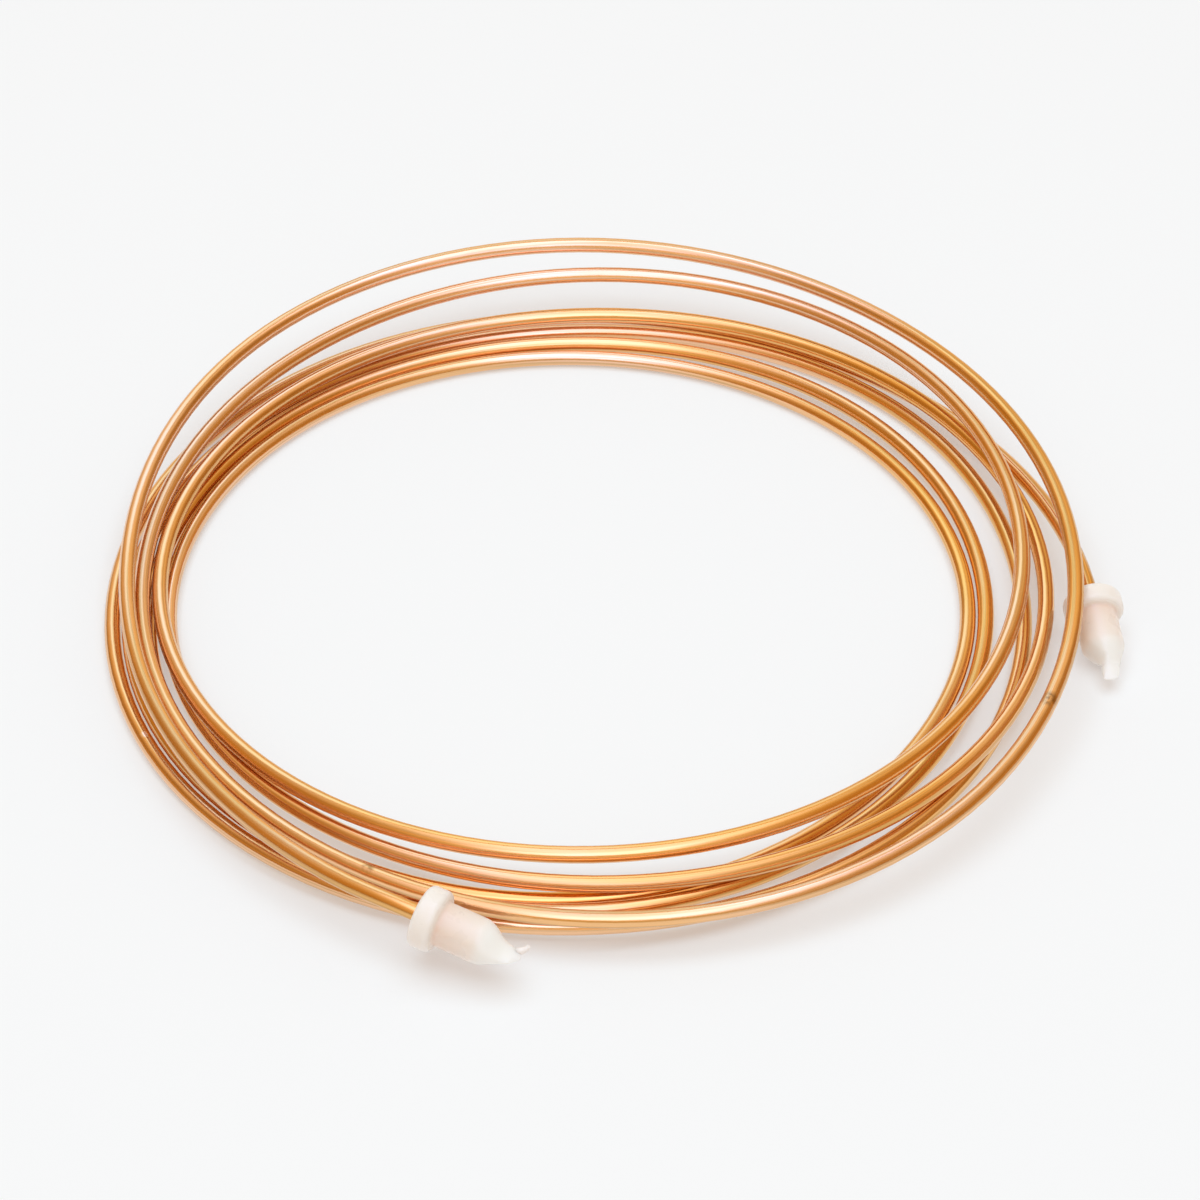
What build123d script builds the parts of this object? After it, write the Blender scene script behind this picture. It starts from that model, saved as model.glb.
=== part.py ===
from build123d import *
import math
import os

# A loose coil of thin copper tube, as it lies on a floor, with a soft plastic cap pushed on each end.
# Millimetres. The floor is z = 0, the coil's axis is +Z through the origin, and -Y is the near side.

# Tube: soft-drawn copper, 1/8 inch outside. Its round section has few sides, because it is long and thin.
TUBE_DIAMETER = 3.175
TUBE_WALL = 0.762
TUBE_SIDES = 16
BORE_SIDES = 8

# Coil: radius of its mean turn, number of turns, and the angle of the lower tube end from +X
COIL_RADIUS = 87.5
COIL_TURNS = 6.714
FIRST_ANGLE = -4.7
RUNS_PER_TURN = 32

# Tube ends: each is bent a little where its cap was pushed on, down by its droop and aside by its swing
RIGHT_DROOP = 10.0
RIGHT_SWING = -1.0
FRONT_DROOP = 7.5
FRONT_SWING = 5.8

# End caps, moulded in soft plastic: a collar at the mouth, a straight body, and a nose pinched flat at
# its tip. The collar's bevelled edges and root are shares of its step to the body.
CAP_LENGTH = 19.5
COLLAR_DIAMETER = 11.4
COLLAR_LENGTH = 4.0
COLLAR_EDGE_SHARE = 0.4
COLLAR_ROOT_SHARE = 0.35
BODY_DIAMETER = 8.2
NOSE_LENGTH = 8.0
CHEEK_SHARE = 0.8
TIP_WIDTH = 3.6
TIP_THICKNESS = 1.4
CAP_GRIP = 11.0
CAP_CLEARANCE = 0.05
CAP_FLOOR_GAP = 0.5
CUT_OVERRUN = 1.0

# Height of the lower cap's mouth in tube diameters: its drooping collar lies just clear of the floor.
# The smooth line below flattens its peaks, so the stations there aim a tenth higher.
COLLAR_DEPTH = COLLAR_DIAMETER / 2 * math.cos(math.radians(RIGHT_DROOP))
COLLAR_FALL = COLLAR_LENGTH * math.sin(math.radians(RIGHT_DROOP))
CAP_HEIGHT_SHARE = (COLLAR_DEPTH + COLLAR_FALL + CAP_FLOOR_GAP) / TUBE_DIAMETER
PEAK_SHARE = 1.1 * CAP_HEIGHT_SHARE

# Turn by turn, how far the centre line lies outside the mean radius, in tube diameters.
# Columns are the eight stations of a turn: right, far right, far, far left, left, near left, near
# and near right. Loose turns differ, so each row is chosen by eye.
TURN_REACH_SHARES = [
    [1.95, 0.35, 0.55, 1.90, 1.90, 2.00, 1.35, -0.15],
    [-1.90, -0.25, -1.05, 0.05, 0.90, 1.05, 0.30, -3.05],
    [-3.90, -3.20, -2.60, -1.05, -0.30, 0.10, -0.75, -4.40],
    [-4.80, -4.80, -3.80, -2.05, -1.35, -1.70, -1.30, -0.55],
    [0.15, -0.20, -0.85, -0.40, -0.85, -2.05, -3.05, -2.80],
    [-1.80, 1.10, 1.25, 1.20, -0.35, 0.55, 2.00, 2.80],
    [1.00, 1.80, 2.60, 3.80, 0.05, 1.65, 5.10, 9.90],
]
LEAD_REACH_SHARE = 5.85

# Turn by turn, the height of the centre line in tube diameters: 0.5 lies on the floor.
# Where two turns cross, the later one is the higher one by a diameter or more.
TURN_HEIGHT_SHARES = [
    [PEAK_SHARE, 0.60, 0.50, 0.50, 0.50, 0.50, 1.30, 0.80],
    [0.50, 0.50, 0.50, 0.50, 0.80, 1.15, 0.90, 0.60],
    [0.60, 1.10, 0.75, 0.50, 0.50, 0.60, 0.80, 0.60],
    [0.50, 0.50, 0.50, 0.50, 0.50, 1.10, 2.10, 1.90],
    [1.80, 2.00, 1.80, 1.75, 1.75, 2.20, 2.70, 2.70],
    [2.90, 3.50, 4.10, 2.80, 1.95, 2.30, 2.20, 2.90],
    [2 * PEAK_SHARE, 4.40, 5.62, 4.20, 2.55, 3.30, 3.15, 2.70],
]
LEAD_HEIGHT_SHARE = PEAK_SHARE

STATIONS_PER_TURN = len(TURN_REACH_SHARES[0])
RUNS = round(COIL_TURNS * RUNS_PER_TURN)
RUN_ANGLE = 360 * COIL_TURNS / RUNS
LAST_ANGLE = FIRST_ANGLE + 360 * COIL_TURNS


def blend(rows, lead, angle):
    """Smooth value at an angle: a cubic B-spline over the stations, one after the other."""
    stations = [lead] + [value for row in rows for value in row]
    place = 1 + angle * STATIONS_PER_TURN / 360
    first = math.floor(place)
    t = place - first
    weights = ((1 - t) ** 3, 3 * t**3 - 6 * t**2 + 4, 1 + 3 * t + 3 * t**2 - 3 * t**3, t**3)
    last = len(stations) - 1
    picks = [stations[min(max(first + step, 0), last)] for step in (-1, 0, 1, 2)]
    return sum(weight * pick for weight, pick in zip(weights, picks)) / sum(weights)


def coil_point(angle):
    """Point of the tube's centre line, by its angle from +X, counted on through every turn."""
    radius = COIL_RADIUS + TUBE_DIAMETER * blend(TURN_REACH_SHARES, LEAD_REACH_SHARE, angle)
    height = TUBE_DIAMETER * blend(TURN_HEIGHT_SHARES, LEAD_HEIGHT_SHARE, angle)
    turn = math.radians(angle)
    return Vector(radius * math.cos(turn), radius * math.sin(turn), height)


def coil_corner(angle):
    """Corner between two straight runs, set out so that the runs touch the smooth line from outside."""
    point = coil_point(angle)
    set_out = 1 / math.cos(math.radians(RUN_ANGLE / 2))
    return Vector(point.X * set_out, point.Y * set_out, point.Z)


def bent_end(mouth_angle, inner_angle, droop, swing):
    """A tube end: where it enters its cap, and its cut face CAP_GRIP further in."""
    mouth = coil_point(mouth_angle)
    run = mouth - coil_point(inner_angle)
    level = Vector(run.X, run.Y, 0).normalized().rotate(Axis.Z, swing)
    fall = math.radians(droop)
    ahead = level * math.cos(fall) - Vector(0, 0, math.sin(fall))
    return mouth, mouth + ahead * CAP_GRIP


def make_tube(points):
    """One hollow tube swept along short mitred runs."""
    path = Polyline(*points)
    start = Plane(origin=points[0], z_dir=points[1] - points[0])
    outer = start * RegularPolygon(TUBE_DIAMETER / 2, TUBE_SIDES)
    bore = start * RegularPolygon(TUBE_DIAMETER / 2 - TUBE_WALL, BORE_SIDES)
    return sweep(outer, path, transition=Transition.RIGHT) - sweep(bore, path, transition=Transition.RIGHT)


def make_cap():
    """Cap in its own frame: the tube's end at the origin, the mouth CAP_GRIP behind, the tip ahead on +Z."""
    mouth = -CAP_GRIP
    shoulder = mouth + COLLAR_LENGTH
    tip = mouth + CAP_LENGTH
    nose = tip - NOSE_LENGTH
    collar = COLLAR_DIAMETER / 2
    body = BODY_DIAMETER / 2
    edge = COLLAR_EDGE_SHARE * (collar - body)
    root = COLLAR_ROOT_SHARE * (collar - body)
    outline = Polyline(
        (0, mouth),
        (collar - edge, mouth),
        (collar, mouth + edge),
        (collar, shoulder - edge),
        (collar - edge, shoulder),
        (body + root, shoulder),
        (body, shoulder + root),
        (body, nose),
        (CHEEK_SHARE * body, nose + NOSE_LENGTH / 2),
        (TIP_WIDTH / 2, tip),
        (0, tip),
        close=True,
    )
    cap = revolve(Plane.XZ * make_face(outline), Axis.Z)
    for side in (-1, 1):
        flat = Polyline(
            (side * body, nose),
            (side * TIP_THICKNESS / 2, tip),
            (side * TIP_THICKNESS / 2, tip + CUT_OVERRUN),
            (side * (body + CUT_OVERRUN), tip + CUT_OVERRUN),
            (side * (body + CUT_OVERRUN), nose),
            close=True,
        )
        cap -= extrude(Plane.XZ * make_face(flat), BODY_DIAMETER, both=True)
    bore = Cylinder(
        TUBE_DIAMETER / 2 + CAP_CLEARANCE,
        CAP_GRIP + CUT_OVERRUN,
        align=(Align.CENTER, Align.CENTER, Align.MAX),
    )
    return cap - bore


def place_cap(cap, mouth, cut):
    """Push a cap onto a tube end, with its pinched nose lying flat."""
    ahead = (cut - mouth).normalized()
    level = Vector(0, 0, 1).cross(ahead)
    return Plane(origin=cut, x_dir=ahead.cross(level), z_dir=ahead) * cap


right_mouth, right_cut = bent_end(FIRST_ANGLE, FIRST_ANGLE + RUN_ANGLE, RIGHT_DROOP, RIGHT_SWING)
front_mouth, front_cut = bent_end(LAST_ANGLE, LAST_ANGLE - RUN_ANGLE, FRONT_DROOP, FRONT_SWING)
corners = [coil_corner(FIRST_ANGLE + RUN_ANGLE * run) for run in range(1, RUNS)]
cap = make_cap()
parts = {
    "copper_tube": make_tube([right_cut, right_mouth, *corners, front_mouth, front_cut]),
    "front_end_cap": place_cap(cap, front_mouth, front_cut),
    "right_end_cap": place_cap(cap, right_mouth, right_cut),
}
os.makedirs("parts", exist_ok=True)
for name, part in parts.items():
    export_step(part, f"parts/{name}.step")
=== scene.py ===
import math

import bmesh
import bpy
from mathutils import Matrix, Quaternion, Vector


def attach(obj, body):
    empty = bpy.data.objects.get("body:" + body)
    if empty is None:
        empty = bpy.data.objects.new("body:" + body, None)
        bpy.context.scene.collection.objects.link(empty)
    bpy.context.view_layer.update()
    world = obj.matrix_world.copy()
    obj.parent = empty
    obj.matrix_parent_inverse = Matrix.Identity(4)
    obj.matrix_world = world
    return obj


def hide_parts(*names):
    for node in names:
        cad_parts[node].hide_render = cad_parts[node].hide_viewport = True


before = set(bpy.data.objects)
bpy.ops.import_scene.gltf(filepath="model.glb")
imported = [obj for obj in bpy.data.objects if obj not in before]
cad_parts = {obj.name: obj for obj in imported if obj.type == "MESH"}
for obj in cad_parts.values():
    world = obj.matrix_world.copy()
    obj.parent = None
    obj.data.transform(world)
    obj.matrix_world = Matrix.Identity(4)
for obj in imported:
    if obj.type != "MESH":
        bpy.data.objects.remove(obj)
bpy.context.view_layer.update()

# Copper tube: one length of soft-drawn copper, 1/8 inch outside with a thick wall. It is drawn bright
# through a die, wound by hand into a loose coil and let go, so its turns differ and cross each other.
TUBE_DIAMETER = 0.003175
TUBE_WALL = 0.000762
TUBE_SIDES = 28
COIL_RADIUS = 0.0875
COIL_TURNS = 6.714
FIRST_ANGLE = -4.7
RUNS_PER_TURN = 32
STEPS_PER_RUN = 4
RIGHT_DROOP = 10.0
RIGHT_SWING = -1.0
FRONT_DROOP = 7.5
FRONT_SWING = 5.8
COLLAR_DIAMETER = 0.0114
COLLAR_LENGTH = 0.004
CAP_GRIP = 0.011
CAP_FLOOR_GAP = 0.0005

# Height of the lower cap's mouth in tube diameters: its drooping collar lies just clear of the floor.
# The smooth line flattens its peaks, so the stations there aim a tenth higher.
COLLAR_DEPTH = COLLAR_DIAMETER / 2 * math.cos(math.radians(RIGHT_DROOP))
COLLAR_FALL = COLLAR_LENGTH * math.sin(math.radians(RIGHT_DROOP))
CAP_HEIGHT_SHARE = (COLLAR_DEPTH + COLLAR_FALL + CAP_FLOOR_GAP) / TUBE_DIAMETER
PEAK_OVERSHOOT = 1.1
PEAK_SHARE = PEAK_OVERSHOOT * CAP_HEIGHT_SHARE

# Each row is a turn and each column one of its eight stations, from the right round by the far side.
# Reach is how far the line lies outside the mean radius, height is above the floor, in tube diameters.
# The highest station is a touch lower than the solid's, so that the rounder tube stays inside its box.
TURN_REACH_SHARES = [
    [1.95, 0.35, 0.55, 1.90, 1.90, 2.00, 1.35, -0.15],
    [-1.90, -0.25, -1.05, 0.05, 0.90, 1.05, 0.30, -3.05],
    [-3.90, -3.20, -2.60, -1.05, -0.30, 0.10, -0.75, -4.40],
    [-4.80, -4.80, -3.80, -2.05, -1.35, -1.70, -1.30, -0.55],
    [0.15, -0.20, -0.85, -0.40, -0.85, -2.05, -3.05, -2.80],
    [-1.80, 1.10, 1.25, 1.20, -0.35, 0.55, 2.00, 2.80],
    [1.00, 1.80, 2.60, 3.80, 0.05, 1.65, 5.10, 9.90],
]
LEAD_REACH_SHARE = 5.85
TURN_HEIGHT_SHARES = [
    [PEAK_SHARE, 0.60, 0.50, 0.50, 0.50, 0.50, 1.30, 0.80],
    [0.50, 0.50, 0.50, 0.50, 0.80, 1.15, 0.90, 0.60],
    [0.60, 1.10, 0.75, 0.50, 0.50, 0.60, 0.80, 0.60],
    [0.50, 0.50, 0.50, 0.50, 0.50, 1.10, 2.10, 1.90],
    [1.80, 2.00, 1.80, 1.75, 1.75, 2.20, 2.70, 2.70],
    [2.90, 3.50, 4.10, 2.80, 1.95, 2.30, 2.20, 2.90],
    [2 * PEAK_SHARE, 4.40, 5.59, 4.20, 2.55, 3.30, 3.15, 2.70],
]
LEAD_HEIGHT_SHARE = PEAK_SHARE
STATIONS_PER_TURN = len(TURN_REACH_SHARES[0])


def blend(rows, lead, angle):
    """Smooth value at an angle: a cubic B-spline over the stations, one after the other."""
    stations = [lead] + [value for row in rows for value in row]
    place = 1 + angle * STATIONS_PER_TURN / 360
    first = math.floor(place)
    t = place - first
    weights = ((1 - t) ** 3, 3 * t**3 - 6 * t**2 + 4, 1 + 3 * t + 3 * t**2 - 3 * t**3, t**3)
    last = len(stations) - 1
    picks = [stations[min(max(first + step, 0), last)] for step in (-1, 0, 1, 2)]
    return sum(weight * pick for weight, pick in zip(weights, picks)) / sum(weights)


def coil_point(angle):
    """Point of the tube's centre line, by its angle from +X, counted on through every turn."""
    radius = COIL_RADIUS + TUBE_DIAMETER * blend(TURN_REACH_SHARES, LEAD_REACH_SHARE, angle)
    height = TUBE_DIAMETER * blend(TURN_HEIGHT_SHARES, LEAD_HEIGHT_SHARE, angle)
    turn = math.radians(angle)
    return Vector((radius * math.cos(turn), radius * math.sin(turn), height))


RUNS = round(COIL_TURNS * RUNS_PER_TURN)
RUN_ANGLE = 360 * COIL_TURNS / RUNS
LAST_ANGLE = FIRST_ANGLE + 360 * COIL_TURNS
TANGENT_SHARE = 0.1


def bent_end(mouth_angle, inner_angle, droop, swing):
    """A tube end: its cut face, its direction outwards, and the points from there to the loose coil."""
    mouth = coil_point(mouth_angle)
    run = mouth - coil_point(inner_angle)
    turn = Quaternion((0, 0, 1), math.radians(swing))
    level = turn @ Vector((run.x, run.y, 0)).normalized()
    fall = math.radians(droop)
    ahead = level * math.cos(fall) - Vector((0, 0, math.sin(fall)))
    cut = mouth + ahead * CAP_GRIP
    inner = coil_point(inner_angle)
    beyond = coil_point(inner_angle + TANGENT_SHARE * (inner_angle - mouth_angle))
    bend = (inner - beyond).normalized()
    points = [cut, cut.lerp(mouth, 0.5), mouth]
    for step in range(1, STEPS_PER_RUN):
        t = 1 - step / STEPS_PER_RUN
        start = inner * (2 * t**3 - 3 * t**2 + 1)
        end = mouth * (3 * t**2 - 2 * t**3)
        start_pull = (t**3 - 2 * t**2 + t) * run.length * bend
        end_pull = (t**3 - t**2) * run.length * ahead
        points.append(start + end + start_pull + end_pull)
    return cut, ahead, points


right_inner = FIRST_ANGLE + RUN_ANGLE
right_cut, right_ahead, right_points = bent_end(FIRST_ANGLE, right_inner, RIGHT_DROOP, RIGHT_SWING)
front_inner = LAST_ANGLE - RUN_ANGLE
front_cut, front_ahead, front_points = bent_end(LAST_ANGLE, front_inner, FRONT_DROOP, FRONT_SWING)
steps = (RUNS - 2) * STEPS_PER_RUN
loose_angles = [FIRST_ANGLE + RUN_ANGLE * (1 + step / STEPS_PER_RUN) for step in range(steps + 1)]
coil_line = right_points + [coil_point(angle) for angle in loose_angles] + front_points[::-1]
coil_angles = [FIRST_ANGLE] * len(right_points) + loose_angles + [LAST_ANGLE] * len(front_points)


def tube_tree():
    """Sweeps a round tube along a path, and keeps the place round and along the tube for its finish."""
    tree = bpy.data.node_groups.new("drawn_tube", "GeometryNodeTree")
    face = tree.interface
    face.new_socket("Path", in_out="INPUT", socket_type="NodeSocketGeometry")
    radius = face.new_socket("Tube Radius", in_out="INPUT", socket_type="NodeSocketFloat")
    sides = face.new_socket("Tube Sides", in_out="INPUT", socket_type="NodeSocketInt")
    finish = face.new_socket("Finish", in_out="INPUT", socket_type="NodeSocketMaterial")
    face.new_socket("Tube", in_out="OUTPUT", socket_type="NodeSocketGeometry")
    node = tree.nodes.new
    link = tree.links.new
    start = node("NodeGroupInput")
    end = node("NodeGroupOutput")
    circle = node("GeometryNodeCurvePrimitiveCircle")
    link(start.outputs["Tube Radius"], circle.inputs["Radius"])
    link(start.outputs["Tube Sides"], circle.inputs["Resolution"])
    place = node("GeometryNodeInputPosition")
    ring = node("GeometryNodeStoreNamedAttribute")
    ring.data_type = "FLOAT_VECTOR"
    ring.inputs["Name"].default_value = "ring"
    link(circle.outputs["Curve"], ring.inputs["Geometry"])
    link(place.outputs["Position"], ring.inputs["Value"])
    line = node("GeometryNodeMeshToCurve")
    link(start.outputs["Path"], line.inputs["Mesh"])
    upright = node("GeometryNodeSetCurveNormal")
    upright.mode = "Z_UP"
    link(line.outputs["Curve"], upright.inputs["Curve"])
    length = node("GeometryNodeSplineParameter")
    along = node("GeometryNodeStoreNamedAttribute")
    along.data_type = "FLOAT"
    along.inputs["Name"].default_value = "along"
    link(upright.outputs["Curve"], along.inputs["Geometry"])
    link(length.outputs["Length"], along.inputs["Value"])
    sweep = node("GeometryNodeCurveToMesh")
    link(along.outputs["Geometry"], sweep.inputs["Curve"])
    link(ring.outputs["Geometry"], sweep.inputs["Profile Curve"])
    smooth = node("GeometryNodeSetShadeSmooth")
    link(sweep.outputs["Mesh"], smooth.inputs["Geometry"])
    realize = node("GeometryNodeRealizeInstances")
    link(smooth.outputs["Geometry"], realize.inputs["Geometry"])
    paint = node("GeometryNodeSetMaterial")
    link(realize.outputs["Geometry"], paint.inputs["Geometry"])
    link(start.outputs["Finish"], paint.inputs["Material"])
    link(paint.outputs["Geometry"], end.inputs["Tube"])
    return tree, radius.identifier, sides.identifier, finish.identifier


PATCH_DETAIL = 3.0


def patches_group():
    """Uneven mask from 0 to 1 in soft-edged patches, for tarnish, cloudy plastic and the like."""
    group = bpy.data.node_groups.new("patches", "ShaderNodeTree")
    face = group.interface
    face.new_socket("Vector", in_out="INPUT", socket_type="NodeSocketVector")
    face.new_socket("Scale", in_out="INPUT", socket_type="NodeSocketFloat")
    face.new_socket("Low", in_out="INPUT", socket_type="NodeSocketFloat")
    face.new_socket("High", in_out="INPUT", socket_type="NodeSocketFloat")
    face.new_socket("Mask", in_out="OUTPUT", socket_type="NodeSocketFloat")
    start = group.nodes.new("NodeGroupInput")
    end = group.nodes.new("NodeGroupOutput")
    noise = group.nodes.new("ShaderNodeTexNoise")
    noise.inputs["Detail"].default_value = PATCH_DETAIL
    spread = group.nodes.new("ShaderNodeMapRange")
    spread.interpolation_type = "SMOOTHSTEP"
    group.links.new(start.outputs["Vector"], noise.inputs["Vector"])
    group.links.new(start.outputs["Scale"], noise.inputs["Scale"])
    group.links.new(noise.outputs["Fac"], spread.inputs["Value"])
    group.links.new(start.outputs["Low"], spread.inputs["From Min"])
    group.links.new(start.outputs["High"], spread.inputs["From Max"])
    group.links.new(spread.outputs["Result"], end.inputs["Mask"])
    return group


PATCHES = patches_group()


def add_patches(material, vector, scale, low, high):
    """A patches node in a material, reading a vector socket; returns its mask."""
    node = material.node_tree.nodes.new("ShaderNodeGroup")
    node.node_tree = PATCHES
    node.inputs["Scale"].default_value = scale
    node.inputs["Low"].default_value = low
    node.inputs["High"].default_value = high
    material.node_tree.links.new(vector, node.inputs["Vector"])
    return node.outputs["Mask"]


def add_mix(material, mask, first, second):
    """A colour mix in a material: first and second are colours or sockets; returns its colour."""
    mix = material.node_tree.nodes.new("ShaderNodeMix")
    mix.data_type = "RGBA"
    material.node_tree.links.new(mask, mix.inputs[0])
    for value, socket in ((first, mix.inputs[6]), (second, mix.inputs[7])):
        if isinstance(value, tuple):
            socket.default_value = (*value, 1.0)
        else:
            material.node_tree.links.new(value, socket)
    return mix.outputs[2]


def add_range(material, value, low, high):
    """Turns a mask of 0 to 1 into values from low to high; returns the socket."""
    spread = material.node_tree.nodes.new("ShaderNodeMapRange")
    spread.inputs["To Min"].default_value = low
    spread.inputs["To Max"].default_value = high
    material.node_tree.links.new(value, spread.inputs["Value"])
    return spread.outputs["Result"]


def add_math(material, operation, first, second):
    """A calculation in a material, on a socket and a socket or number; returns its value."""
    node = material.node_tree.nodes.new("ShaderNodeMath")
    node.operation = operation
    material.node_tree.links.new(first, node.inputs[0])
    if isinstance(second, float):
        node.inputs[1].default_value = second
    else:
        material.node_tree.links.new(second, node.inputs[1])
    return node.outputs["Value"]


# Marks on the tube: the angle of the coil at each one, its reach in tube diameters, and its colour.
# Each is at full strength over the first share of its reach.
BURN_ANGLE = 2133.0
BURN_REACH_SHARE = 0.75
BURN_BROWN = (0.38, 0.23, 0.13)
SCUFF_ANGLE = 2044.0
SCUFF_REACH_SHARE = 0.5
SCUFF_BROWN = (0.46, 0.24, 0.09)
NICK_ANGLE = 206.5
NICK_REACH_SHARE = 0.35
NICK_PINK = (0.98, 0.74, 0.60)
MARK_FULL_SHARE = 0.3


def add_mark(material, place, angle, share):
    """A blot on top of the tube at an angle of the coil, that fades over its reach; returns its mask."""
    apart = material.node_tree.nodes.new("ShaderNodeVectorMath")
    apart.operation = "DISTANCE"
    material.node_tree.links.new(place, apart.inputs[0])
    apart.inputs[1].default_value = coil_point(angle) + Vector((0, 0, TUBE_DIAMETER / 2))
    fade = material.node_tree.nodes.new("ShaderNodeMapRange")
    fade.interpolation_type = "SMOOTHSTEP"
    fade.inputs["From Min"].default_value = share * TUBE_DIAMETER
    fade.inputs["From Max"].default_value = MARK_FULL_SHARE * share * TUBE_DIAMETER
    material.node_tree.links.new(apart.outputs["Value"], fade.inputs["Value"])
    return fade.outputs["Result"]


# How golden the tarnish on each turn is: 0 is fresh pink copper and 1 deep gold. Round the coil it
# differs as well: in the photo the far side is pinker, and the right and near sides are more golden.
TURN_GOLD_SHARES = [0.50, 0.60, 0.68, 0.55, 0.64, 0.25, 0.45]
STATION_GOLD_SHARES = [0.30, 0.05, -0.25, -0.30, -0.05, 0.0, 0.12, 0.0]
GOLD_ROWS = [[share + more for more in STATION_GOLD_SHARES] for share in TURN_GOLD_SHARES]
COPPER_PINK = (0.93, 0.60, 0.41)
COPPER_GOLD = (0.92, 0.50, 0.15)
# Dull brown of the tarnish patches and of the die lines, where it also paints dark reflected bands.
COPPER_DULL_AND_REFLECTION_DARK = (0.42, 0.23, 0.05)

# Lines from the die run along the tube, so their noise is stretched that way. They are darker than the
# die left them, so they also paint dark reflected bands along the turns: painted reflection. Tarnish is
# stretched less.
# Scales are noise cells a metre, and a range is where a mask starts and where it is full.
LINE_STRETCH_SHARE = 0.006
LINE_SCALE = 2200.0
LINE_RANGE = (0.38, 0.66)
LINE_AND_REFLECTION_DARK_SHARE = 0.5
LINE_BUMP_STRENGTH = 0.1
LINE_BUMP_DEPTH = 0.00002
BAND_STRETCH_SHARE = 0.08
TINT_SCALE = 220.0
TINT_RANGE = (0.35, 0.65)
TINT_GOLD_SHARE = 0.3
DULL_SCALE = 480.0
DULL_RANGE = (0.60, 0.78)
DULL_SHARE = 0.3
GRIME_SCALE = 900.0
GRIME_RANGE = (0.25, 0.6)
COPPER_ROUGHNESS = (0.16, 0.26)


def bright_copper():
    """Drawn copper: fine lines along the tube, darkened so that they also paint dark reflected bands,
    pink to golden tarnish and a few dull brown patches.
    """
    material = bpy.data.materials.new("drawn_copper")
    material.use_nodes = True
    tree = material.node_tree
    node = tree.nodes.new
    link = tree.links.new
    shader = tree.nodes["Principled BSDF"]
    shader.inputs["Metallic"].default_value = 1.0
    ring = node("ShaderNodeAttribute")
    ring.attribute_name = "ring"
    along = node("ShaderNodeAttribute")
    along.attribute_name = "along"
    gold = node("ShaderNodeAttribute")
    gold.attribute_name = "gold"
    split = node("ShaderNodeSeparateXYZ")
    link(ring.outputs["Vector"], split.inputs["Vector"])
    drawn = node("ShaderNodeCombineXYZ")
    link(split.outputs["X"], drawn.inputs["X"])
    link(split.outputs["Y"], drawn.inputs["Y"])
    link(along.outputs["Fac"], drawn.inputs["Z"])
    stretch = node("ShaderNodeMapping")
    stretch.inputs["Scale"].default_value = (1.0, 1.0, LINE_STRETCH_SHARE)
    link(drawn.outputs["Vector"], stretch.inputs["Vector"])
    bands = node("ShaderNodeMapping")
    bands.inputs["Scale"].default_value = (1.0, 1.0, BAND_STRETCH_SHARE)
    link(drawn.outputs["Vector"], bands.inputs["Vector"])
    lines = add_patches(material, stretch.outputs["Vector"], LINE_SCALE, *LINE_RANGE)
    cloud = add_patches(material, bands.outputs["Vector"], TINT_SCALE, *TINT_RANGE)
    dull = add_patches(material, bands.outputs["Vector"], DULL_SCALE, *DULL_RANGE)
    more_gold = add_range(material, cloud, -TINT_GOLD_SHARE, TINT_GOLD_SHARE)
    tint = add_math(material, "ADD", gold.outputs["Fac"], more_gold)
    colour = add_mix(material, tint, COPPER_PINK, COPPER_GOLD)
    # The die lines darken the copper, and also paint the dark reflected bands along the tube: painted
    # reflection.
    line_and_reflection_dark = add_math(material, "MULTIPLY", lines, LINE_AND_REFLECTION_DARK_SHARE)
    colour = add_mix(material, line_and_reflection_dark, colour, COPPER_DULL_AND_REFLECTION_DARK)
    tarnish = add_math(material, "MULTIPLY", dull, DULL_SHARE)
    colour = add_mix(material, tarnish, colour, COPPER_DULL_AND_REFLECTION_DARK)
    place = node("ShaderNodeTexCoord").outputs["Object"]
    grime = add_patches(material, place, GRIME_SCALE, *GRIME_RANGE)
    burn = add_mark(material, place, BURN_ANGLE, BURN_REACH_SHARE)
    colour = add_mix(material, add_math(material, "MULTIPLY", burn, grime), colour, BURN_BROWN)
    scuff = add_mark(material, place, SCUFF_ANGLE, SCUFF_REACH_SHARE)
    colour = add_mix(material, add_math(material, "MULTIPLY", scuff, grime), colour, SCUFF_BROWN)
    nick = add_mark(material, place, NICK_ANGLE, NICK_REACH_SHARE)
    colour = add_mix(material, nick, colour, NICK_PINK)
    link(colour, shader.inputs["Base Color"])
    link(add_range(material, lines, *COPPER_ROUGHNESS), shader.inputs["Roughness"])
    bump = node("ShaderNodeBump")
    bump.inputs["Strength"].default_value = LINE_BUMP_STRENGTH
    bump.inputs["Distance"].default_value = LINE_BUMP_DEPTH
    link(lines, bump.inputs["Height"])
    link(bump.outputs["Normal"], shader.inputs["Normal"])
    return material


path = bpy.data.meshes.new("coil_line")
path.from_pydata(coil_line, [(first, first + 1) for first in range(len(coil_line) - 1)], [])
gold = path.attributes.new("gold", "FLOAT", "POINT")
for point, angle in zip(gold.data, coil_angles):
    point.value = blend(GOLD_ROWS, TURN_GOLD_SHARES[0], angle)
winding = bpy.data.objects.new("coil_line", path)
bpy.context.scene.collection.objects.link(winding)
tree, radius_input, sides_input, finish_input = tube_tree()
drawing = winding.modifiers.new("drawing", "NODES")
drawing.node_group = tree
drawing[radius_input] = TUBE_DIAMETER / 2
drawing[sides_input] = TUBE_SIDES
drawing[finish_input] = bright_copper()
graph = bpy.context.evaluated_depsgraph_get()
tube_mesh = bpy.data.meshes.new_from_object(winding.evaluated_get(graph), depsgraph=graph)
bpy.data.objects.remove(winding)
tube = bpy.data.objects.new("coiled_tube", tube_mesh)
bpy.context.scene.collection.objects.link(tube)
wall = tube.modifiers.new("wall", "SOLIDIFY")
wall.thickness = TUBE_WALL
wall.offset = -1.0
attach(tube, "root")
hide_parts("copper_tube")

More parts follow.
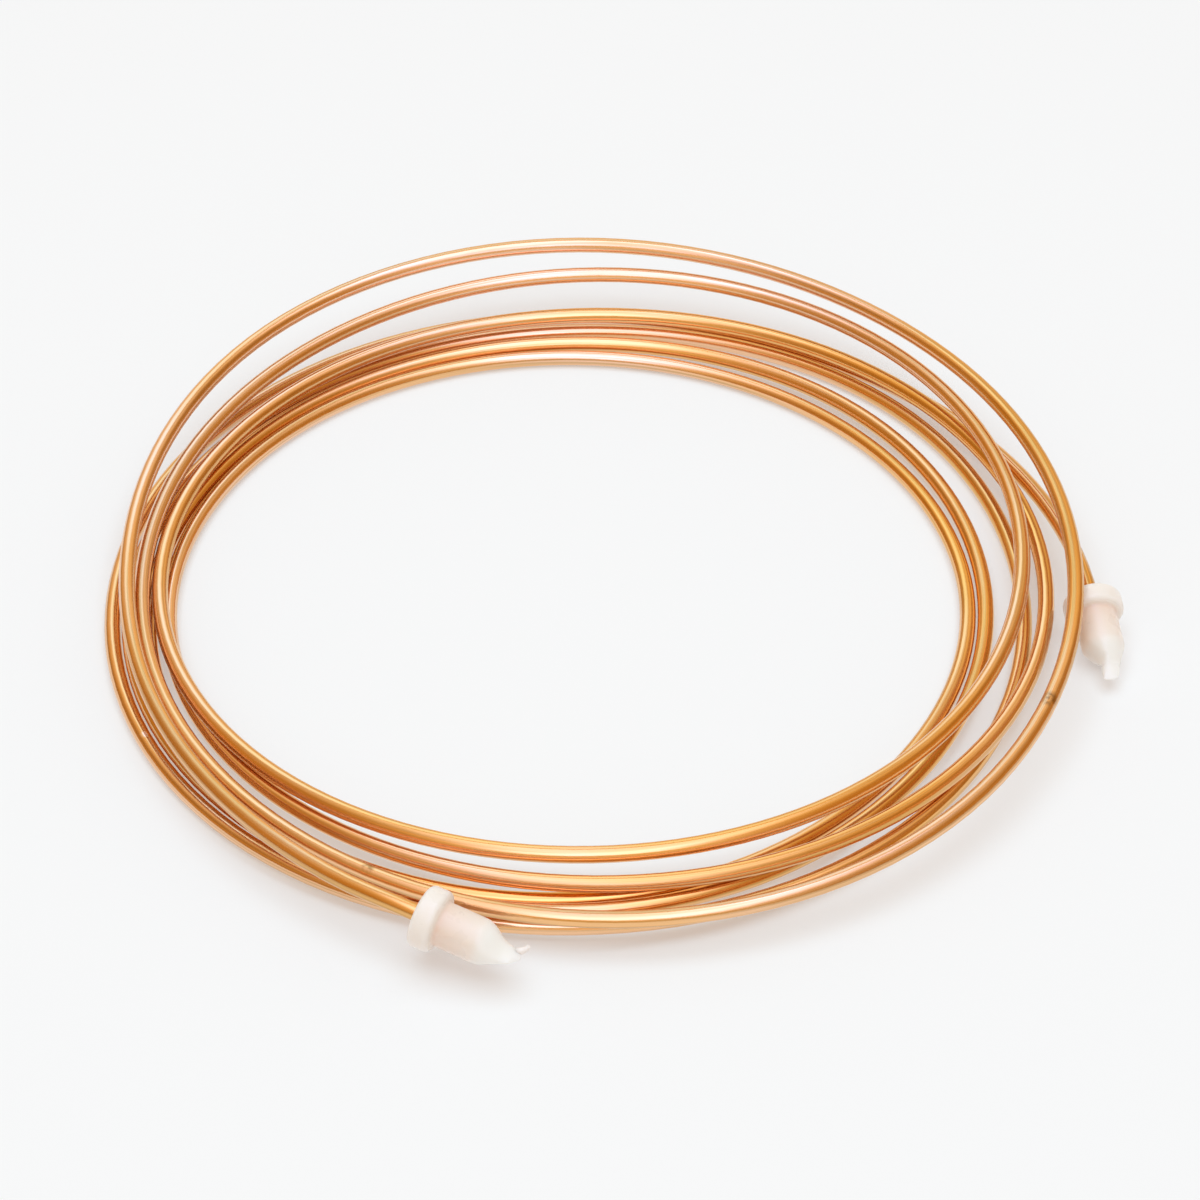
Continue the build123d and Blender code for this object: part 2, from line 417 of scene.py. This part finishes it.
# End caps: soft moulded polyethylene, milky and translucent, pushed over the tube ends to keep dirt out.
# Each has a round-edged collar to pull it by and a nose that was pinched flat as it left the mould.
CAP_LENGTH = 0.0195
COLLAR_EDGE = 0.0009
COLLAR_ROOT = 0.0007
BODY_DIAMETER = 0.0082
NOSE_LENGTH = 0.008
TIP_ROUND = 0.0004
TIP_ROUND_SHARES = [0.6, 1.0]
TIP_ROUND_ANGLE = 80.0
CAP_CLEARANCE = 0.00005
BORE_RADIUS = TUBE_DIAMETER / 2 + CAP_CLEARANCE
BORE_LEAD = 0.0003
CAP_SIDES = 64
ARC_STEPS = 6
NOSE_STEPS = 24

# Nose from the body to the tip, in shares of the body's radius: the two half widths of each cap differ,
# because each nose was torn off another one. The front one keeps a curled tail from that.
NOSE_HEIGHT_SHARES = [1.0, 0.95, 0.82, 0.64, 0.46, 0.31, 0.22, 0.16, 0.08]
FRONT_FAR_SHARES = [1.0, 0.94, 0.84, 0.71, 0.58, 0.50, 0.45, 0.40, 0.20]
FRONT_NEAR_SHARES = [1.0, 0.99, 0.95, 0.89, 0.82, 0.73, 0.63, 0.50, 0.20]
RIGHT_OUTER_SHARES = [1.0, 0.96, 0.86, 0.76, 0.66, 0.58, 0.50, 0.43, 0.36]
RIGHT_INNER_SHARES = [1.0, 0.82, 0.60, 0.38, 0.24, 0.28, 0.31, 0.34, 0.34]
TAIL_LINE_SHARES = [
    (0.28, 0.0, 1.75),
    (0.38, 0.04, 1.92),
    (0.46, 0.11, 2.03),
    (0.52, 0.20, 2.11),
    (0.56, 0.31, 2.16),
]
TAIL_RADIUS_SHARES = [0.18, 0.16, 0.14, 0.12, 0.08]
TAIL_SIDES = 10


def between(shares, t):
    """Smooth value at t, from 0 to 1, on a line through evenly spaced shares."""
    place = t * (len(shares) - 1)
    first = min(int(place), len(shares) - 2)
    u = place - first
    before = shares[max(first - 1, 0)]
    start = shares[first]
    end = shares[first + 1]
    after = shares[min(first + 2, len(shares) - 1)]
    bend = 2 * before - 5 * start + 4 * end - after
    twist = 3 * (start - end) + after - before
    return start + 0.5 * u * (end - before + u * (bend + u * twist))


def arc(centre, radius, first, last):
    """Points (place along the cap, radius) of a rounded edge."""
    angles = [math.radians(first + (last - first) * step / ARC_STEPS) for step in range(ARC_STEPS + 1)]
    return [(centre[0] + radius * math.cos(a), centre[1] + radius * math.sin(a)) for a in angles]


def cap_sections(plus_shares, minus_shares):
    """Place, two half widths and half height of each section, from the bore's end to the tip."""
    mouth = -CAP_GRIP
    shoulder = mouth + COLLAR_LENGTH
    nose = mouth + CAP_LENGTH - NOSE_LENGTH
    collar = COLLAR_DIAMETER / 2
    body = BODY_DIAMETER / 2
    skin = [(0.0, BORE_RADIUS), (mouth + BORE_LEAD, BORE_RADIUS), (mouth, BORE_RADIUS + BORE_LEAD)]
    skin += arc((mouth + COLLAR_EDGE, collar - COLLAR_EDGE), COLLAR_EDGE, 180, 90)
    skin += arc((shoulder - COLLAR_EDGE, collar - COLLAR_EDGE), COLLAR_EDGE, 90, 0)
    skin += arc((shoulder + COLLAR_ROOT, body + COLLAR_ROOT), COLLAR_ROOT, 180, 270)
    sections = [(place, radius, radius, radius) for place, radius in skin]
    for step in range(NOSE_STEPS + 1):
        t = step / NOSE_STEPS
        shares = [between(row, t) for row in (plus_shares, minus_shares, NOSE_HEIGHT_SHARES)]
        sections.append((nose + (NOSE_LENGTH - TIP_ROUND) * t, *(body * share for share in shares)))
    place, *halves = sections[-1]
    for closing in TIP_ROUND_SHARES:
        size = math.cos(math.radians(TIP_ROUND_ANGLE * closing))
        sections.append((place + TIP_ROUND * closing, *(size * half for half in halves)))
    return sections


def add_skin(shape, rings):
    """Joins rings of points into a closed skin."""
    sides = len(rings[0])
    loops = [[shape.verts.new(point) for point in ring] for ring in rings]
    for first, second in zip(loops[:-1], loops[1:]):
        for side in range(sides):
            after = (side + 1) % sides
            shape.faces.new((first[side], first[after], second[after], second[side]))
    shape.faces.new(loops[0])
    shape.faces.new(loops[-1])


def cap_rings(plus_shares, minus_shares):
    """Rings of a cap in its own frame: x is level, y is up and z points ahead out of the tube."""
    turns = [2 * math.pi * side / CAP_SIDES for side in range(CAP_SIDES)]
    rings = []
    for place, plus, minus, height in cap_sections(plus_shares, minus_shares):
        ring = []
        for turn in turns:
            width = plus if math.cos(turn) > 0 else minus
            ring.append((width * math.cos(turn), height * math.sin(turn), place))
        rings.append(ring)
    return rings


def tail_rings():
    """Rings of the torn tail, round its own line."""
    body = BODY_DIAMETER / 2
    line = [Vector(point) * body for point in TAIL_LINE_SHARES]
    rings = []
    for place, (point, share) in enumerate(zip(line, TAIL_RADIUS_SHARES)):
        ahead = (line[min(place + 1, len(line) - 1)] - line[max(place - 1, 0)]).normalized()
        across = ahead.cross(Vector((0, 1, 0))).normalized()
        turns = [Quaternion(ahead, 2 * math.pi * side / TAIL_SIDES) for side in range(TAIL_SIDES)]
        rings.append([point + body * share * (turn @ across) for turn in turns])
    return rings


# The plastic is cloudy, and pinker where the copper is inside it: less so under the thick collar, and
# fading from the tube's cut end, at 0 along the cap, into the nose.
CAP_MILK = (0.97, 0.91, 0.87)
CAP_CLOUD = (0.955, 0.885, 0.84)
CAP_CORE = (0.90, 0.715, 0.61)
COLLAR_CORE_SHARE = 0.3
CORE_START = -0.002
CORE_END = 0.003
SCATTER_REACH = 0.003
CLOUD_SCALE = 160.0
CLOUD_RANGE = (0.3, 0.8)
PLASTIC_ROUGHNESS = (0.26, 0.36)
PLASTIC_IOR = 1.45


def core_share(place):
    """How much of the copper inside shows through the plastic, by the place along the cap."""
    shoulder = COLLAR_LENGTH - CAP_GRIP
    if place < shoulder:
        return COLLAR_CORE_SHARE
    if place < shoulder + COLLAR_ROOT:
        return COLLAR_CORE_SHARE + (1 - COLLAR_CORE_SHARE) * (place - shoulder) / COLLAR_ROOT
    t = min(max((place - CORE_START) / (CORE_END - CORE_START), 0.0), 1.0)
    return 1 - t * t * (3 - 2 * t)


def milky_plastic(name, scatter):
    """Soft polyethylene: scatter is the share of light that spreads in it. Its core is pink."""
    material = bpy.data.materials.new(name)
    material.use_nodes = True
    tree = material.node_tree
    shader = tree.nodes["Principled BSDF"]
    place = tree.nodes.new("ShaderNodeTexCoord").outputs["Object"]
    cloud = add_patches(material, place, CLOUD_SCALE, *CLOUD_RANGE)
    core = tree.nodes.new("ShaderNodeAttribute")
    core.attribute_name = "core"
    colour = add_mix(material, cloud, CAP_MILK, CAP_CLOUD)
    colour = add_mix(material, core.outputs["Fac"], colour, CAP_CORE)
    tree.links.new(colour, shader.inputs["Base Color"])
    tree.links.new(add_range(material, cloud, *PLASTIC_ROUGHNESS), shader.inputs["Roughness"])
    shader.inputs["IOR"].default_value = PLASTIC_IOR
    shader.inputs["Subsurface Weight"].default_value = scatter
    shader.inputs["Subsurface Radius"].default_value = (1.0, 1.0, 1.0)
    shader.inputs["Subsurface Scale"].default_value = SCATTER_REACH
    return material


def push_on(name, rings, cut, ahead, plastic):
    """Places a cap or its tail on a tube end, with the pinched nose lying flat."""
    shape = bmesh.new()
    add_skin(shape, rings)
    bmesh.ops.recalc_face_normals(shape, faces=shape.faces)
    level = Vector((0, 0, 1)).cross(ahead).normalized()
    up = ahead.cross(level)
    cores = [core_share(vertex.co.z) for vertex in shape.verts]
    for vertex in shape.verts:
        x, y, z = vertex.co
        vertex.co = cut + level * x + up * y + ahead * z
    for face in shape.faces:
        face.smooth = len(face.verts) == 4
    mesh = bpy.data.meshes.new(name)
    shape.to_mesh(mesh)
    shape.free()
    mesh.attributes.new("core", "FLOAT", "POINT").data.foreach_set("value", cores)
    mesh.materials.append(plastic)
    piece = bpy.data.objects.new(name, mesh)
    bpy.context.scene.collection.objects.link(piece)
    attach(piece, "root")
    return piece


cap_plastic = milky_plastic("milky_plastic", 1.0)
right_rings = cap_rings(RIGHT_OUTER_SHARES, RIGHT_INNER_SHARES)
right_cap = push_on("right_cap", right_rings, right_cut, right_ahead, cap_plastic)
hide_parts("right_end_cap")
front_rings = cap_rings(FRONT_FAR_SHARES, FRONT_NEAR_SHARES)
front_cap = push_on("front_cap", front_rings, front_cut, front_ahead, cap_plastic)
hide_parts("front_end_cap")
thin_plastic = milky_plastic("thin_plastic", 0.0)
push_on("front_cap_tail", tail_rings(), front_cut, front_ahead, thin_plastic)

# Floor: a matt white table top, larger than any view of the coil needs. As on a bleached white backdrop,
# part of its white is its own where it is seen, so that the shadows on it stay light. In the copper it is
# more, so that the undersides of the turns stay clear.
FLOOR_RADIUS = 8.0
FLOOR_SEGMENTS = 96
FLOOR_ROUGHNESS = 0.8
FLOOR_WHITE = (0.935, 0.937, 0.94)
FLOOR_BLEACH = 0.36
FLOOR_BLEACH_IN_METAL = 0.75
floor_shape = bmesh.new()
bmesh.ops.create_circle(floor_shape, cap_ends=True, segments=FLOOR_SEGMENTS, radius=FLOOR_RADIUS)
floor_mesh = bpy.data.meshes.new("floor")
floor_shape.to_mesh(floor_mesh)
floor_shape.free()
floor_paint = bpy.data.materials.new("white_table")
floor_paint.use_nodes = True
floor_shader = floor_paint.node_tree.nodes["Principled BSDF"]
floor_shader.inputs["Base Color"].default_value = (*FLOOR_WHITE, 1.0)
floor_shader.inputs["Roughness"].default_value = FLOOR_ROUGHNESS
floor_shader.inputs["Specular IOR Level"].default_value = 0.0
floor_glow = floor_paint.node_tree.nodes.new("ShaderNodeEmission")
floor_glow.inputs["Color"].default_value = (*FLOOR_WHITE, 1.0)
floor_ray = floor_paint.node_tree.nodes.new("ShaderNodeLightPath")
floor_seen = floor_ray.outputs["Is Camera Ray"]
floor_plain = add_math(floor_paint, "MULTIPLY", floor_seen, FLOOR_BLEACH)
floor_mirrored = floor_ray.outputs["Is Glossy Ray"]
floor_in_metal = add_math(floor_paint, "MULTIPLY", floor_mirrored, FLOOR_BLEACH_IN_METAL)
floor_bleach = add_math(floor_paint, "MAXIMUM", floor_plain, floor_in_metal)
floor_mix = floor_paint.node_tree.nodes.new("ShaderNodeMixShader")
floor_end = floor_paint.node_tree.nodes["Material Output"]
floor_link = floor_paint.node_tree.links.new
floor_link(floor_bleach, floor_mix.inputs["Fac"])
floor_link(floor_shader.outputs["BSDF"], floor_mix.inputs[1])
floor_link(floor_glow.outputs["Emission"], floor_mix.inputs[2])
floor_link(floor_mix.outputs["Shader"], floor_end.inputs["Surface"])
floor_mesh.materials.append(floor_paint)
floor = bpy.data.objects.new("floor", floor_mesh)
bpy.context.scene.collection.objects.link(floor)

# Light: a warm room with a cool soft box overhead, so that shadows come out warm. The copper mirrors a
# warmer room that is darker at both sides, a broad panel over the viewer and a small one on the far side.
ROOM_LIGHT = (0.62, 0.49, 0.39)
ROOM_IN_METAL = (0.90, 0.70, 0.40)
ROOM_SIDES_IN_METAL = (0.54, 0.28, 0.06)
ROOM_SIDES_START = 0.35
ROOM_SIDES_END = 0.85
BOX_SIZE = 1.6
BOX_PLACE = (0.0, -0.1, 1.5)
BOX_POWER = 19.0
BOX_COLOUR = (0.62, 0.84, 1.0)
NEAR_PANEL_SIZE = (1.8, 2.6)
NEAR_PANEL_PLACE = (0.0, -0.51, 1.41)
NEAR_PANEL_COLOUR = (0.66, 0.67, 1.0)
NEAR_PANEL_LEVEL = 3.0
NEAR_PANEL_FULL_SHARE = 0.26
FAR_PANEL_SIZE = (1.2, 0.9)
FAR_PANEL_PLACE = (-0.25, 1.12, 0.95)
FAR_PANEL_COLOUR = (0.7, 0.85, 1.0)
FAR_PANEL_LEVEL = 1.7
FAR_PANEL_FULL_SHARE = 0.15

# A mirror that is itself seen from a matt surface finds the panels dimmer, which keeps bright orange
# spots off the floor. Diffuse depth is counted in whole bounces.
PANEL_BOUNCE_LEVEL = 1.5
NO_BOUNCE_BELOW = 0.5
room = bpy.data.worlds.new("room")
room.use_nodes = True
room_ray = room.node_tree.nodes.new("ShaderNodeLightPath")
room_way = room.node_tree.nodes.new("ShaderNodeSeparateXYZ")
room_aside = room.node_tree.nodes.new("ShaderNodeMath")
room_aside.operation = "ABSOLUTE"
room_sides = room.node_tree.nodes.new("ShaderNodeMapRange")
room_sides.interpolation_type = "SMOOTHSTEP"
room_sides.inputs["From Min"].default_value = ROOM_SIDES_START
room_sides.inputs["From Max"].default_value = ROOM_SIDES_END
room_place = room.node_tree.nodes.new("ShaderNodeTexCoord")
room_link = room.node_tree.links.new
room_link(room_place.outputs["Generated"], room_way.inputs["Vector"])
room_link(room_way.outputs["X"], room_aside.inputs[0])
room_link(room_aside.outputs["Value"], room_sides.inputs["Value"])
room_in_metal = add_mix(room, room_sides.outputs["Result"], ROOM_IN_METAL, ROOM_SIDES_IN_METAL)
room_colour = add_mix(room, room_ray.outputs["Is Glossy Ray"], ROOM_LIGHT, room_in_metal)
room_link(room_colour, room.node_tree.nodes["Background"].inputs["Color"])
bpy.context.scene.world = room

lamp = bpy.data.lights.new("soft_box", "AREA")
lamp.shape = "SQUARE"
lamp.size = BOX_SIZE
lamp.energy = BOX_POWER
lamp.color = BOX_COLOUR
soft_box = bpy.data.objects.new("soft_box", lamp)
soft_box.location = BOX_PLACE
soft_box.rotation_euler = (-Vector(BOX_PLACE)).to_track_quat("-Z", "Y").to_euler()
soft_box.visible_glossy = False
bpy.context.scene.collection.objects.link(soft_box)


def hang_panel(name, size, place, colour, level, full_share):
    """Hangs a panel that faces the table and only shows in what the copper mirrors. It is at its full
    level over that share of its width and fades to nothing at its sides."""
    paint = bpy.data.materials.new(name)
    paint.use_nodes = True
    tree = paint.node_tree
    tree.nodes.remove(tree.nodes["Principled BSDF"])
    middle = Vector(place)
    turn = (-middle).to_track_quat("-Z", "Y")
    across = turn @ Vector((size[0] / 2, 0, 0))
    along = turn @ Vector((0, size[1] / 2, 0))
    where = tree.nodes.new("ShaderNodeTexCoord")
    apart = tree.nodes.new("ShaderNodeVectorMath")
    apart.operation = "SUBTRACT"
    tree.links.new(where.outputs["Object"], apart.inputs[0])
    apart.inputs[1].default_value = middle
    aside = tree.nodes.new("ShaderNodeVectorMath")
    aside.operation = "DOT_PRODUCT"
    tree.links.new(apart.outputs["Vector"], aside.inputs[0])
    aside.inputs[1].default_value = across.normalized()
    reach = tree.nodes.new("ShaderNodeMath")
    reach.operation = "ABSOLUTE"
    tree.links.new(aside.outputs["Value"], reach.inputs[0])
    fade = tree.nodes.new("ShaderNodeMapRange")
    fade.interpolation_type = "SMOOTHSTEP"
    fade.inputs["From Min"].default_value = size[0] / 2
    fade.inputs["From Max"].default_value = full_share * size[0] / 2
    tree.links.new(reach.outputs["Value"], fade.inputs["Value"])
    ray = tree.nodes.new("ShaderNodeLightPath")
    direct = add_math(paint, "LESS_THAN", ray.outputs["Diffuse Depth"], NO_BOUNCE_BELOW)
    strength = add_range(paint, direct, min(PANEL_BOUNCE_LEVEL, level), level)
    glow = tree.nodes.new("ShaderNodeEmission")
    glow.inputs["Color"].default_value = (*colour, 1.0)
    tree.links.new(strength, glow.inputs["Strength"])
    clear = tree.nodes.new("ShaderNodeBsdfTransparent")
    mix = tree.nodes.new("ShaderNodeMixShader")
    tree.links.new(fade.outputs["Result"], mix.inputs["Fac"])
    tree.links.new(clear.outputs["BSDF"], mix.inputs[1])
    tree.links.new(glow.outputs["Emission"], mix.inputs[2])
    tree.links.new(mix.outputs["Shader"], tree.nodes["Material Output"].inputs["Surface"])
    paint.cycles.emission_sampling = "NONE"
    ends = ((-1, -1), (1, -1), (1, 1), (-1, 1))
    corners = [middle + across * x + along * y for x, y in ends]
    mesh = bpy.data.meshes.new(name)
    mesh.from_pydata(corners, [], [(0, 1, 2, 3)])
    mesh.materials.append(paint)
    panel = bpy.data.objects.new(name, mesh)
    panel.visible_camera = False
    panel.visible_diffuse = False
    panel.visible_shadow = False
    bpy.context.scene.collection.objects.link(panel)


hang_panel(
    "near_panel",
    NEAR_PANEL_SIZE,
    NEAR_PANEL_PLACE,
    NEAR_PANEL_COLOUR,
    NEAR_PANEL_LEVEL,
    NEAR_PANEL_FULL_SHARE,
)
hang_panel(
    "far_panel",
    FAR_PANEL_SIZE,
    FAR_PANEL_PLACE,
    FAR_PANEL_COLOUR,
    FAR_PANEL_LEVEL,
    FAR_PANEL_FULL_SHARE,
)

# Camera: a short telephoto view from the near side, 41 degrees above the table.
CAMERA_DISTANCE = 0.712
CAMERA_ELEVATION = math.radians(41.0)
CAMERA_LENS = 109.35
CAMERA_SENSOR = 36.0
CAMERA_TARGET = Vector((0.001, 0.0, 0.0))
lens = bpy.data.cameras.new("camera")
lens.lens = CAMERA_LENS
lens.sensor_width = CAMERA_SENSOR
camera = bpy.data.objects.new("camera", lens)
back = Vector((0.0, -math.cos(CAMERA_ELEVATION), math.sin(CAMERA_ELEVATION)))
camera.location = CAMERA_TARGET + CAMERA_DISTANCE * back
camera.rotation_euler = (-back).to_track_quat("-Z", "Y").to_euler()
bpy.context.scene.collection.objects.link(camera)
bpy.context.scene.camera = camera
bpy.context.scene.view_settings.view_transform = "Standard"
